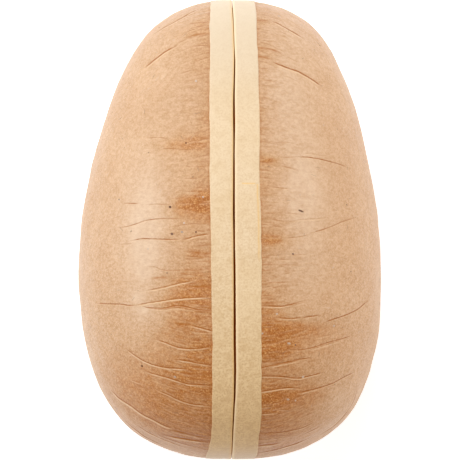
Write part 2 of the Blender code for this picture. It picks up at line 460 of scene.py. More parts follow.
def makeTapePaper():
    paint = Paint("creamTape", tapeLook, "middle")
    cloudy = paint.noise(90, 4, 0.6)
    mottled = paint.noise(420, 4, 0.7)
    crepe = paint.noise((180, 900, 500), 3, 0.6)
    grainy = paint.noise(1700, 2, 0.6)
    aside, along, _ = split(paint.tree, paint.where)
    busy = along.ramp(0.03, -0.06) * 0.8 + 0.48  # busier towards the blunt end
    paint.tint(cloudy.ramp(0.3, 0.72), "pale")
    # deeper and warmer towards the blunt end
    paint.tint(along.ramp(0.01, -0.075) * (cloudy + 0.25), "bluntEndTone")
    paint.tint(mottled.ramp(0.42, 0.74) * busy * 0.8, "shade")
    paint.tint(crepe.ramp(0.55, 0.85) * busy * 0.6, "shade")
    paint.tint(grainy.ramp(0.42, 0.68) * busy * 0.8, "shade")
    # a painted greyish reflection over the last centimetre at the blunt end
    paint.tint(along.ramp(-0.064, -0.074) * 0.72, "bluntEndSheen")
    # duller towards the narrow end
    paint.tint(along.ramp(0.035, 0.07) * 0.7, "narrowEndTone")
    fresh = along.ramp(-0.004, -0.012) * along.ramp(-0.032, -0.016) * aside.ramp(0.0, 0.001)
    paint.tint(fresh * 0.16, "lit")
    # the fold attribute is painted shade, golden then deep orange, on the tape's walls in the gap and along
    # the loose end's edge; below 0 it is a painted highlight on the rounded fold
    foldLightAndShade = paint.read("fold")
    paint.tint((foldLightAndShade * 2.0).clamped(), "goldenShade")
    paint.tint((foldLightAndShade * 2.0 - 1.0).do("MAXIMUM", 0.0), "fold")
    paint.tint((foldLightAndShade * -1.0).do("MAXIMUM", 0.0), "lit")
    return paint.finish((mottled + crepe * 0.7 + grainy * 0.4) * busy)


def makeCollarCard():
    paint = Paint("collarCard", collarLook, "deep")
    paint.tint(paint.noise(45, 4, 0.6).ramp(0.35, 0.7), "pale")
    return paint.finish(paint.noise(700, 3))


def makeFleck():
    paint = Paint("strayFleck", fleckLook, "dark")
    paint.tint(paint.read("tone"), "pale")
    paint.tint(paint.noise(1500, 2).ramp(0.3, 0.7) * 0.2, "dusty")
    return paint.finish()


kraftPaper = makeKraft()
creamTape = makeTapePaper()
collarCard = makeCollarCard()
strayFleck = makeFleck()
print("materials ready")


# The seam and the tapes. Points are (along the egg, aside) in mm, read off the seen face
seam = {
    "path": [
        (-75, -0.4), (-64, -0.25), (-57, -0.02), (-52, 0.24), (-44, 0.29), (-32, 0.1), (-20, 0.09),
        (-6, -0.15), (6, -0.21), (19, -0.18), (32, -0.13), (42, -0.1), (54, 0.12), (65, -0.11),
        (75, -0.4),
    ],
    "gap": [
        (-75, 0.1), (-70, 0.2), (-64, 0.3), (-57, 0.4), (-45, 0.61), (-33, 0.57), (-20, 0.65),
        (-6, 0.52), (15, 0.51), (30, 0.51), (42, 0.52), (50, 0.26), (57, 0.08), (66, 0.06), (75, 0.1),
    ],
}
tape = {
    "edge": {
        "left": [
            (-75, 9.1), (-72, 8.2), (-67, 7.2), (-60, 6.9), (-40, 6.8), (-28, 7.0), (0, 7.4), (15, 7.8),
            (38, 7.9), (52, 7.7), (75, 7.5),
        ],
        "right": [
            (-75, 7.2), (-72, 7.9), (-67, 8.2), (-60, 8.7), (-5, 8.4), (10, 8.1), (42, 7.8), (52, 7.5),
            (75, 7.1),
        ],
    },
    "hiddenWidth": {"left": 7.6, "right": 8.0},
    "thick": 0.4,
    "fold": 1.9,
    "round": 0.28,
    "foldShadeAndHighlight": {"left": (0.85, 0.62, 0.42, 0.28), "right": (1.0, 0.9, 0.35, -1.0)},  # painted shade on the fold's walls in the gap, below 0 a painted highlight on the rounded fold
    "columns": 1500,
    "wander": 0.07,
    "wrinkle": 0.035,
}
# line is the strength of the painted shadow along the loose end's edge
overlap = {"side": "right", "starts": 14.2, "ends": -6.5, "rise": 0.13, "inset": 0.75, "line": 0.45}


def alongOf(alpha):  # mm along the egg at the rim
    return egg["length"] / 2 * ringSize(0) * np.sin(alpha) / mm


def ringSpots(alpha, third=0, wide=49):  # the rim in mm, as places for a soft field
    along = alongOf(alpha)
    return np.stack([along, wide * np.cos(alpha), third + 0 * along], axis=-1)


def readOff(points, along):
    return np.interp(along, [p[0] for p in points], [p[1] for p in points])


def seamShift(alpha):  # the seam's line wanders on the seen face and runs true underneath
    return readOff(seam["path"], alongOf(alpha)) * smoothStep(-0.3, 0.3, np.cos(alpha)) * mm


def halfGap(side, alpha):
    wave = softField(ringSpots(alpha, wide=9), 17, 5 + sides[side])
    gap = readOff(seam["gap"], alongOf(alpha)) / 2 + 0.035 * wave
    return np.maximum(gap, 0.05) * mm + sides[side] * seamShift(alpha)


def tapeEdge(side, alpha):
    seen = readOff(tape["edge"][side], alongOf(alpha))
    hidden = tape["hiddenWidth"][side] + 0.35 * (-np.sin(alpha) + 0.4 * np.sin(2 * alpha + 1))
    top = smoothStep(-0.3, 0.3, np.cos(alpha))
    ring = ringSpots(alpha)
    wave = softField(ring, 14, 11 + sides[side]) + 0.6 * softField(ring, 5, 21 + sides[side])
    return (seen * top + hidden * (1 - top) + tape["wander"] * wave) * mm


# Base half shell: a flat grid bent by the egg formula
shell = {
    "around": 1250,
    "rows": 78,
    "crowding": 0.55,  # columns lie closer on the upper face
    "rimX": 1.15 * mm,
    "rowStart": 0.62,  # first row spacing against an even one
    "pocketFloor": 5.3 * mm,
    "pocketWall": -2.0 * mm,
    "tuck": 0.16 * mm,  # how far the paper lies down under the tape
}


def shellInputs(side):
    shape = ("length", "width", "taper", "endFullness", "endBluntness", "bulgeRise", "bulgeRim",
             "rimFlatness", "rimBand")
    inputs = {name: egg[name] for name in shape}
    inputs.update({name: shell[name] for name in ("rimX", "crowding", "rowStart", "around", "rows")})
    return {**inputs, "side": float(sides[side]), "paper": kraftPaper}


def makeShellTree():
    tree, given = newTree("halfShell", shellInputs("left"))
    grid = addNode(tree, "GeometryNodeMeshGrid", Size_X=1.0, Size_Y=1.0,
                   Vertices_X=given["around"] + 1.0, Vertices_Y=given["rows"] + 1.0)
    across, down, _ = split(tree, addNode(tree, "GeometryNodeInputPosition").outputs[0])
    turn = (across + 0.5) * (2 * math.pi)
    alpha = turn - given["crowding"] * turn.do("SINE")
    row = down + 0.5
    row = row * given["rowStart"] + row * row * (1.0 - given["rowStart"])
    halfWidth = given["width"] * 0.5

    def taperNodes(t):
        squared = t * t
        curve = squared * given["endFullness"] + squared * squared * given["endBluntness"]
        return t * given["taper"] + 1.0 + curve

    def bulgeNodes(share):
        rise = given["bulgeRise"] * (share * share) + given["bulgeRim"]
        return 1.0 - given["side"] * rise

    rimT = alpha.do("SINE") * (1.0 - given["rimFlatness"])
    rimWidth = halfWidth * taperNodes(rimT) * bulgeNodes(0.0)
    start = (given["rimX"] / rimWidth).do("ARCSINE")
    climb = start + (math.pi / 2 - start) * row
    share = climb.do("SINE")
    band = share / given["rimBand"]
    pressed = given["rimFlatness"] * (band * band * -1.0).do("EXPONENT")
    size = climb.do("COSINE") - pressed
    size = size * row.do("LESS_THAN", 0.99999)  # the last row meets at the bulge's middle
    t = size * alpha.do("SINE")
    wide = halfWidth * taperNodes(t)
    x = wide * bulgeNodes(share) * share * given["side"]
    y = given["length"] * 0.5 * t
    z = wide * size * alpha.do("COSINE")
    bent = addNode(tree, "ShaderNodeCombineXYZ", X=x, Y=y, Z=z).outputs[0]
    # the climb is kept before the points move, because it is read from the flat grid
    kept = addNode(tree, "GeometryNodeStoreNamedAttribute", Geometry=grid.outputs["Mesh"],
                   Name="climb", Value=climb)
    moved = addNode(tree, "GeometryNodeSetPosition", Geometry=kept.outputs["Geometry"], Position=bent)
    sewn = addNode(tree, "GeometryNodeMergeByDistance", Geometry=moved.outputs[0], Distance=1e-6)
    return endTree(tree, sewn.outputs[0], given["paper"],
                   "GeometryNodeSetShadeSmooth", "GeometryNodeRealizeInstances")


shellTree = makeShellTree()


def readEach(data, field, wide):  # wide numbers of every item of a mesh
    read = np.empty(len(data) * wide, np.float32)
    data.foreach_get(field, read)
    return read.reshape(-1, wide).astype(float)


def values(mesh, name):
    return readEach(mesh.attributes[name].data, "value", 1)[:, 0]


def points(mesh):
    return readEach(mesh.vertices, "co", 3)


def movePoints(mesh, where):
    mesh.vertices.foreach_set("co", where.astype(np.float32).ravel())
    mesh.update()


def keepValues(mesh, name, amount):
    made = mesh.attributes.get(name) or mesh.attributes.new(name, "FLOAT", "POINT")
    made.data.foreach_set("value", amount.astype(np.float32))


def keepRimAngle(mesh):  # read back from each point's place, as sewing the grid's ends mixes their angles
    where = points(mesh)
    t = where[:, 1] / (egg["length"] / 2)
    keepValues(mesh, "rimAngle", np.arctan2(t, where[:, 2] / wideAt(t)))


def writeMesh(work, mesh):  # with its faces pointing outwards
    if work.calc_volume(signed=True) < 0:
        bmesh.ops.reverse_faces(work, faces=work.faces)
    work.to_mesh(mesh)
    work.free()


def closeRim(mesh, side):  # turns the rim in and closes the pocket for the collar
    work = bmesh.new()
    work.from_mesh(mesh)
    angleLayer = work.verts.layers.float["rimAngle"]
    climbLayer = work.verts.layers.float["climb"]
    edges = [edge for edge in work.edges if edge.is_boundary]
    for x, offset in ((shell["rimX"], shell["pocketWall"]), (shell["pocketFloor"], shell["pocketWall"])):
        grown = bmesh.ops.extrude_edge_only(work, edges=edges)["geom"]
        fresh = [item for item in grown if isinstance(item, bmesh.types.BMVert)]
        edges = [item for item in grown if isinstance(item, bmesh.types.BMEdge) and item.is_boundary]
        angles = np.array([vert[angleLayer] for vert in fresh])
        for vert, where in zip(fresh, rimPoints(side, x, angles, offset)):
            vert.co = where
            vert[climbLayer] = -1.0
    bmesh.ops.holes_fill(work, edges=edges)
    writeMesh(work, mesh)


# Soft folds of the wet paper, the same waves as the solids have
pucker = {"height": 0.3 * mm, "start": 9.0 * mm, "end": 48.0 * mm,
          "waves": ((11, 0.6, 0.45), (17, 2.1, 0.35), (23, 4.0, 0.2))}


def puckers(side, alpha, climb):
    cadEdge = tape["hiddenWidth"][side] * mm + 0.3 * mm
    start = np.arcsin(shareAt(side, cadEdge, alpha))
    reach = np.maximum(climb - start, 0) * egg["width"] / 2
    wave = sum(weight * np.sin(count * alpha + phase) for count, phase, weight in pucker["waves"])
    fade = smoothStep(0, pucker["start"], reach) * (1 - smoothStep(pucker["start"], pucker["end"], reach))
    return pucker["height"] * wave * fade


# Creases. A groove is painted dark with shade, and the crest on its blunt side is painted pale with a
# highlight. Each kind has its depth and width in mm, its painted shade, warm below 0, its painted
# highlight, and which of the two lines a path follows
creaseKinds = {
    "cut": (0.035, 0.15, 1.1, 0.25, "groove"),
    "score": (0.025, 0.14, 0.9, 0.12, "groove"),
    "crack": (0.05, 0.25, 1.25, 0.6, "groove"),
    "ridge": (0.035, 0.17, 1.35, 1.0, "crest"),
    "lip": (0.02, 0.17, 0.65, 0.9, "crest"),
    "brown": (0.03, 0.38, -0.75, 0.0, "groove"),
    "edge": (0.09, 0.44, -2.6, 1.0, "groove"),
    "fold": (0.05, 0.28, 1.6, 1.4, "crest"),
    "streak": (0.02, 0.16, 0.6, 0.3, "groove"),
}
# Creases of the seen face: kind, strength, then x and y of each point in pixels of the photograph
creases = {"left": [
    ("crack", 1.1, 152, 35.8, 163, 28.8, 174, 22.8, 192, 12.3, 201, 7.8),
    ("crack", 1.2, 142, 69.5, 149, 64, 157, 57.6, 167.5, 50, 179.6, 44),
    ("score", 0.3, 176, 45, 190, 38.5, 200, 37, 214, 36.5),
    ("score", 0.8, 190, 47, 200, 45.7, 214, 45.3),
    ("brown", 0.5, 186, 25, 200, 22.5, 214, 22),
    ("brown", 0.8, 183, 39.6, 197, 34.6, 214, 33.6),
    ("score", 0.6, 143, 138.2, 159, 137.2, 171, 139.2),
    ("score", 0.75, 156, 150.5, 166, 148.5, 180, 149, 194, 150),
    ("score", 0.45, 174, 166, 195, 166.5, 214, 166),
    ("score", 0.9, 122, 203.1, 128, 203.3, 141, 203.6),
    ("score", 0.5, 143, 205, 151.5, 204.3, 162, 204.3, 175, 204.5),
    ("cut", 0.75, 117, 228.3, 126, 226.8, 135, 224.3, 143.5, 221.1, 151.5, 219.5, 162, 218.6, 172, 218.8,
     184, 218.9),
    ("score", 0.5, 168, 227.6, 182, 225, 192, 224, 214, 223.2),
    ("cut", 0.95, 127, 241.1, 135, 239.9, 143.3, 238.7, 160, 239.1, 172, 239.4, 185, 239),
    ("ridge", 0.8, 180, 240.9, 188, 239.8, 194, 237.8, 205.5, 235.7, 215, 234.7),
    ("score", 0.5, 118, 244.8, 125, 244, 134, 243.8),
    ("score", 0.35, 110, 219.5, 117, 217.1, 125, 215.3),
    ("brown", 0.6, 186, 252.4, 200, 253, 215, 252.6),
    ("score", 0.6, 143, 266.5, 155, 267, 162, 270, 178, 270.3, 196, 270, 215, 269.8),
    ("brown", 0.8, 149, 278, 160, 277.6, 171, 277),
    ("lip", 1.2, 143, 292.4, 161.6, 289, 176, 285.4, 188, 282.8, 200, 280.4),
    ("brown", 1.0, 187, 285.1, 197, 286.9, 215, 285.1),
    ("cut", 1.0, 96, 303.2, 108, 303.8, 121, 304.2, 131, 305.6, 139, 304.2),
    ("lip", 1.4, 133, 307.4, 141, 305.6, 151.5, 303.7, 162, 302.2, 172, 300.7, 187, 299.2, 215, 298),
    ("cut", 1.1, 139, 304.6, 144, 306.6, 150, 307.8, 158, 308.2, 166.7, 307.8, 175, 305.6, 187, 306.6, 197,
     309.2, 215, 310.6),
    ("lip", 0.8, 150, 310.6, 166, 310.6, 176, 308.8, 196, 312),
    ("brown", 1.0, 176, 324.5, 187, 323.5, 193, 325.5),
    ("ridge", 1.0, 190, 326, 198, 328.4, 205, 330.4, 215, 333),
    ("ridge", 0.8, 152, 339.2, 159, 341.4, 166, 343.8, 176.5, 348, 184, 349.6, 191, 350, 203, 349.2, 215,
     347.2),
    ("ridge", 1.1, 123, 347, 127, 350.9, 133.5, 356.1, 144, 362.3, 155, 366.3, 166, 368.7, 177, 369.5, 192,
     370.3),
    ("ridge", 0.95, 170, 359.8, 187.6, 362.3, 196, 364, 215, 367.4),
    ("ridge", 0.9, 142, 371.5, 155, 375.5, 166, 378.3, 177, 381.9, 187.6, 385.1, 198.5, 385.9, 215, 386.5),
    ("ridge", 1.0, 154, 389, 158, 391.3, 166, 395, 177, 400.6, 187.6, 404.3, 196, 405.9, 215, 406.8),
    ("fold", 1.15, 110, 389.6, 114.6, 394.6, 120.5, 400.2, 133.5, 408.8, 144, 415.8, 155, 421.2, 166,
     426.8, 178, 429.8),
    ("edge", 1.2, 158, 432.6, 170, 435.6, 186, 438.9, 200, 441, 214, 442.6),
    ("edge", 0.6, 166, 427, 180, 431.6, 193.3, 435.2, 209, 438.3, 215, 439),
    ("edge", 0.8, 131, 420.5, 141, 427.6, 150.6, 434, 161, 439.6, 171.3, 443.8, 184, 448, 196, 451),
    ("edge", 0.9, 121, 416.4, 130, 425, 138.3, 431.8, 148, 438.8, 159.1, 444.6, 170, 449),
    ("edge", 0.6, 150, 430, 162, 436.4, 176, 441.6, 192, 446.2, 210, 449.6),
    ("lip", 0.9, 168, 430.4, 181, 434, 196, 436.6, 213, 438),
    ("lip", 0.9, 140, 433.4, 154, 439.6, 168, 444.4, 188, 449.4),
    ("lip", 0.6, 128, 379.5, 137, 383.5, 147, 385.5),
    ("brown", 0.7, 188, 374.5, 200, 376, 214, 378.5),
], "right": [
    ("brown", 0.7, 252, 20.1, 264, 20.5, 272, 22.5),
    ("crack", 1.3, 268, 20.1, 276, 23.5, 284, 28, 294, 33.5, 306, 40.5),
    ("brown", 0.8, 252, 47.2, 265, 47.6, 276, 50.5, 286, 55),
    ("brown", 0.8, 252, 56, 262, 56.6, 274, 60),
    ("crack", 1.4, 270, 60.6, 278, 63.8, 288, 67.6, 299, 71.8, 308, 76.8, 316, 81.8, 324, 87.4),
    ("score", 0.5, 272, 143, 285, 142, 296, 144),
    ("score", 0.5, 282, 157.8, 290, 157, 299, 156.6),
    ("cut", 1.0, 294, 156.8, 303, 156.8, 310, 157.3, 322, 159.6, 334, 162.7, 348, 167.6),
    ("lip", 0.35, 300, 154.4, 312, 155, 326, 158.2),
    ("lip", 0.5, 285, 224, 301, 221.1, 322, 219.6, 332, 218.4),
    ("score", 0.7, 282, 238.2, 291, 237.6, 302, 236.3, 312, 233.5),
    ("cut", 0.7, 306, 234.6, 314, 232.2, 322, 229.8, 332, 226.2, 342, 221.8, 357, 216.8),
    ("ridge", 0.75, 252, 306.5, 263, 306.9, 279, 307.8, 291, 305.9, 305, 301.9),
    ("ridge", 0.75, 274, 318.2, 283, 319.4, 291, 319.8, 304, 318.6),
    ("cut", 1.0, 300, 317.8, 310, 316.4, 321, 315),
    ("cut", 1.4, 322, 323.1, 328, 321.1, 334, 319, 347, 314.5, 358, 309.1, 369.5, 299.3),
    ("lip", 0.5, 314, 339.4, 322, 338.1, 333, 335.4),
    ("score", 0.6, 252, 356.4, 267, 354.4, 276, 353.2, 288, 350.2),
    ("cut", 0.9, 285, 350, 293, 349.9, 301, 349.6, 314.6, 347, 328, 342.6, 344, 338.2, 354, 334.6),
    ("lip", 0.7, 304, 351.2, 316, 349.2, 330, 344.8, 344, 340.6),
    ("cut", 1.2, 252, 369.8, 264, 367.2, 277, 364, 291, 361.2, 304, 358.5, 316, 357.4),
    ("lip", 1.0, 264, 369.7, 277, 366.3, 291, 363.5, 304, 360.7),
    ("ridge", 1.1, 252, 377.6, 264, 377.5, 277, 377.6, 291, 379.2, 299.5, 379.7, 308, 377.6, 325, 373.2),
    ("ridge", 1.2, 252, 393.5, 265, 392.3, 273.5, 391.1, 288.5, 389.3, 305, 390.3),
    ("cut", 1.5, 293, 394.6, 300, 392.8, 308, 390.8, 320, 387.5, 333, 383, 344, 377, 355, 371.4),
    ("lip", 1.0, 298, 395.4, 310, 392, 322, 388.6),
    ("lip", 0.8, 252, 409.4, 264, 408.2, 274.5, 406.8),
    ("lip", 1.2, 252, 415.7, 264, 414.7, 278, 413.5),
    ("lip", 0.9, 275, 410.2, 289, 410.6),
    ("ridge", 1.0, 268, 434, 277, 433.6, 290, 431.2, 302, 428.4, 317, 421),
    ("crack", 1.0, 299, 436, 307, 432.6, 315, 428.6, 322, 424.2),
    ("brown", 1.1, 252, 433.4, 266, 433, 280, 432, 296, 430.6),
    ("edge", 1.2, 357.5, 386, 354, 397.5, 350, 407, 344.2, 416.4, 337, 424.5, 328.6, 431, 318, 437),
    ("edge", 1.3, 268, 450.6, 280, 448.6, 288.7, 446.6, 295, 444.6, 301.4, 442.2, 308, 439.4, 315, 436),
    ("edge", 0.8, 252, 453.6, 262, 452.6, 273.3, 450.4, 284, 448),
    ("edge", 0.8, 252, 446.6, 259.3, 446, 273.3, 444, 284, 441),
    ("lip", 0.9, 252, 441, 270, 440, 288, 437),
]}
# Glue soaked in beside the tapes: x, y, width and height in pixels, and how dark it is; below 0 a patch is
# a painted sheen, paler and whiter
stains = {"left": [
    (190, 143, 26, 8, 0.5), (168, 146, 22, 6, 0.2), (197, 204, 17, 7, 0.95), (206, 206, 10, 9, 0.45),
    (192, 212, 26, 8, 0.4), (206, 240, 8, 14, -0.15), (203, 255, 16, 5, 0.3), (190, 279, 34, 7, 0.32),
    (198, 290, 22, 8, 0.75), (183, 303, 34, 6, 0.45), (192, 322, 22, 6, 0.4), (205, 352, 16, 10, 0.32),
    (190, 371, 30, 8, 0.42), (200, 388, 26, 10, 0.35), (204, 420, 22, 14, 0.35), (200, 24, 14, 8, 0.28),
    (195, 33, 22, 5, 0.25), (206, 122, 10, 12, 0.25), (204, 60, 14, 14, 0.14), (204, 170, 14, 16, 0.1),
    (187, 441, 28, 4, 0.85), (200, 447, 18, 5, 0.35), (160, 330, 30, 14, 0.16), (206, 438, 12, 8, 0.35),
    (185, 345, 48, 90, 0.3), (144, 238, 29, 78, -0.92), (158, 105, 36, 42, -0.22),
    (175, 48, 42, 28, -0.25), (155, 408, 55, 42, 0.7), (157, 421, 16, 7, 0.35), (185, 434, 30, 7, 0.25),
    (178, 298, 24, 9, 0.25), (170, 228, 22, 16, 0.1), (188, 95, 22, 36, -0.22), (188, 20, 14, 12, -0.3),
    (163, 386, 9, 12, -0.3), (145, 318, 24, 14, -0.45), (138, 297, 9, 6, -0.6), (144, 273, 9, 7, -0.4),
    (143, 309, 12, 4, -0.4), (196, 203, 20, 8, 0.5), (206, 199, 8, 8, 1.3), (150, 225, 20, 66, -0.3),
    (190, 405, 34, 42, 0.25), (205, 361, 10, 14, 0.55), (197, 380, 14, 8, 0.4), (198, 436, 24, 6, 0.35),
    (198, 300, 18, 16, 0.25), (202, 346, 14, 14, 0.4), (200, 378, 18, 14, 0.4),
], "right": [
    (268, 160, 12, 5, 0.75), (272, 170, 16, 12, 0.25), (276, 240, 20, 7, 0.75), (272, 222, 18, 10, 0.32),
    (280, 258, 24, 8, 0.15), (272, 282, 20, 14, 0.06), (274, 331, 24, 7, 0.85), (300, 330, 34, 9, 0.6),
    (276, 345, 22, 9, 0.6), (270, 355, 14, 6, 0.55), (276, 386, 22, 8, 0.45), (276, 399, 24, 7, 0.85),
    (300, 396, 30, 8, 0.35), (270, 418, 18, 14, 0.4), (266, 437, 12, 5, 0.6), (266, 56, 12, 7, 0.32),
    (264, 47, 10, 5, 0.28), (264, 22, 10, 5, 0.35), (266, 128, 8, 14, 0.04), (268, 188, 12, 10, 0.2),
    (262, 100, 8, 26, 0.12), (320, 345, 30, 14, 0.15), (290, 446, 30, 4, 0.45), (275, 345, 32, 62, 0.25),
    (300, 180, 36, 90, -0.65), (303, 190, 17, 36, -0.45), (298, 270, 36, 56, -0.47),
    (339, 398, 14, 12, -0.6), (278, 418, 34, 34, 0.4), (273, 318, 15, 24, 0.25), (282, 84, 30, 60, -0.7),
    (285, 35, 40, 26, -0.35), (274, 347, 18, 12, 0.85), (270, 402, 20, 10, 0.45), (266, 402, 10, 8, 1.15),
    (278, 401, 12, 8, 0.35), (268, 338, 12, 10, 0.9), (266, 308, 12, 16, 0.3), (268, 240, 10, 7, 0.35),
    (290, 436, 30, 12, 0.25),
]}
unseen = {
    "folds": 30,
    "kinds": ("cut", "ridge", "score", "ridge", "lip"),
    "starts": (0.1, 0.1, 0.22, 0.35),  # climbs and lengths are angles up from the rim
    "length": (0.22, 0.75),
    "stains": 20,
    "stainLong": (4, 9),
    "stainWide": (1.8, 4),
    "stainDark": (0.3, 0.8),
    "seed": {"left": 41, "right": 42},
}
streaks = {"count": 210, "gathered": 170, "around": -0.75, "spread": 0.42, "length": (0.04, 0.16)}
wrinkles = {"height": 0.022 * mm, "wavelength": 1.5, "stretch": 0.14, "reach": 13 * mm}
paperLumps = ((0.1, 21, 7), (0.035, 7, 17), (0.012, 2.4, 27))  # height and wavelength in mm, and seed
tapeEdgeShadow = {"ink": 0.4, "width": 0.3 * mm}  # a painted shadow: the thin dark line where a tape ends


def smoothPath(knots, step=2.5):  # a smooth line through given points
    knots = [np.array(knot, float) for knot in knots]
    ends = [2 * knots[0] - knots[1]] + knots + [2 * knots[-1] - knots[-2]]
    line = []
    for before, here, after, beyond in zip(ends, ends[1:], ends[2:], ends[3:]):
        count = max(2, int(np.linalg.norm(after - here) / step))
        for part in np.arange(count) / count:
            bend = 2 * before - 5 * here + 4 * after - beyond
            twist = -before + 3 * here - 3 * after + beyond
            line.append(0.5 * (2 * here + (after - before) * part + bend * part**2 + twist * part**3))
    return line + [knots[-1]]


def skinOf(mesh):
    corners = [tuple(v.co) for v in mesh.vertices]
    return BVHTree.FromPolygons(corners, [tuple(p.vertices) for p in mesh.polygons])


def onPaper(skin, x, y):  # the point of the paper seen at a pixel
    hit, _, _, _ = skin.ray_cast(eye, photoRay(x, y))
    return None if hit is None else np.array(hit)


def creasedBy(where, out, line, reach):  # each near point's distance, below 0 on one side, and place
    line = np.array(line)
    near = np.all((where > line.min(axis=0) - reach) & (where < line.max(axis=0) + reach), axis=1)
    chosen = np.nonzero(near)[0]
    starts, runs = line[:-1], np.diff(line, axis=0)
    lengths = np.maximum(np.linalg.norm(runs, axis=1), 1e-9)
    begun = np.concatenate([[0], np.cumsum(lengths)[:-1]])
    apart = where[chosen, None, :] - starts[None, :, :]
    share = np.clip((apart * runs).sum(axis=2) / lengths**2, 0, 1)
    offset = apart - share[:, :, None] * runs
    gaps = np.linalg.norm(offset, axis=2)
    best = gaps.argmin(axis=1)
    rows = np.arange(len(chosen))
    across = np.cross(out[chosen], runs[best])
    side = np.sign((offset[rows, best] * across).sum(axis=1))
    place = begun[best] + share[rows, best] * lengths[best]
    return chosen, gaps[rows, best] * side, place, lengths.sum()


class Relief:  # heights, painted crease shade and highlight, and stain (below 0 a painted sheen) gathered over one half before the paper is pressed
    def __init__(self, mesh):
        self.where = points(mesh)
        self.out = readEach(mesh.vertices, "normal", 3)
        count = len(self.where)
        self.height, self.ink, self.worn, self.stain = np.zeros((4, count))
        self.apart = np.full((drawing["layers"], count), drawing["reach"])
        self.lines = np.zeros((drawing["layers"], count, 3))  # distance in widths, painted shade, painted highlight
        self.lines[:, :, 0] = drawing["reach"] / mm

    def crease(self, kind, strength, line, seed):
        deep, width, ink, crestLight, read = creaseKinds[kind]
        width = width * mm
        reach = 4 * width if kind == "streak" else drawing["reach"]
        chosen, gap, place, length = creasedBy(self.where, self.out, line, reach)
        if read == "crest":
            gap = gap - drawing["crestAt"] * width
        draw = np.random.default_rng(seed)
        ends = 0.4 * length if kind == "edge" else min(5 * mm, length / 3)
        fade = smoothStep(0, ends, place) * smoothStep(0, ends, length - place)
        lumps = sum(np.sin(place / mm * pace + draw.uniform(0, 6.28)) for pace in (0.9, 1.7, 2.9)) / 3
        power = strength * fade * (1 + 0.35 * lumps)
        soft = 1.5 * width
        crest = np.exp(-(((gap + drawing["crestAt"] * width) / (1.3 * soft)) ** 2))
        groove = np.exp(-((gap / soft) ** 2))
        self.height[chosen] += power * deep * mm * (0.7 * crest - groove)
        if kind == "streak":
            # a streak's painted shade in its groove and painted highlight on its crest
            shaded = ink * power * np.exp(-((gap / width) ** 2))
            self.ink[chosen] = np.maximum(self.ink[chosen], shaded)
            self.worn[chosen] = np.maximum(self.worn[chosen], crestLight * power * crest)
            return
        taken = (self.apart[:, chosen] < drawing["reach"]) & (np.abs(gap) < drawing["reach"])
        layer = taken.sum(axis=1).argmin()
        closer = np.abs(gap) < self.apart[layer, chosen]
        spots, gap, power = chosen[closer], gap[closer], power[closer]
        self.apart[layer, spots] = np.abs(gap)
        power = power * (1 - smoothStep(0.6, 1.0, np.abs(gap) / drawing["reach"]))
        # the strengths of the crease's painted shade and painted highlight
        self.lines[layer, spots] = np.stack([gap / width, ink * power, crestLight * power], axis=1)

    # a soft patch: glue stain above 0, painted sheen below 0
    def soak(self, middle, right, up, size, strength):
        apart = self.where - middle
        spread = (apart @ right / size[0]) ** 2 + (apart @ up / size[1]) ** 2
        spread += (apart @ np.cross(right, up) / max(size)) ** 2
        self.stain += strength * np.exp(-spread)


def shellLine(side, alphas, climbs):  # points of the bare shell at given angles
    share = np.sin(climbs)
    size = ringSize(share)
    t = size * np.sin(alphas)
    wide = wideAt(t)
    x = sides[side] * wide * sideBulge(side, share) * share
    return placed(np.stack([x, egg["length"] / 2 * t, wide * size * np.cos(alphas)], axis=-1))


def randomCrease(relief, side, draw, kind, alpha, start, length):  # climbs from near the rim
    climbs = np.linspace(start, min(1.45, start + length), 14)
    slant = 0.03 if kind == "streak" else 0.1
    bend = draw.normal(0, slant) * (climbs - start) + 0.1 * slant * np.sin(climbs * draw.uniform(8, 22))
    bend += draw.normal(0, 0.12) * (climbs - start) ** 2
    line = shellLine(side, alpha + bend, climbs)
    if np.dot(line[-1] - line[0], np.array(viewRight)) < 0:
        line = line[::-1]
    relief.crease(kind, draw.uniform(0.4, 1.0), line, int(draw.integers(1e6)))


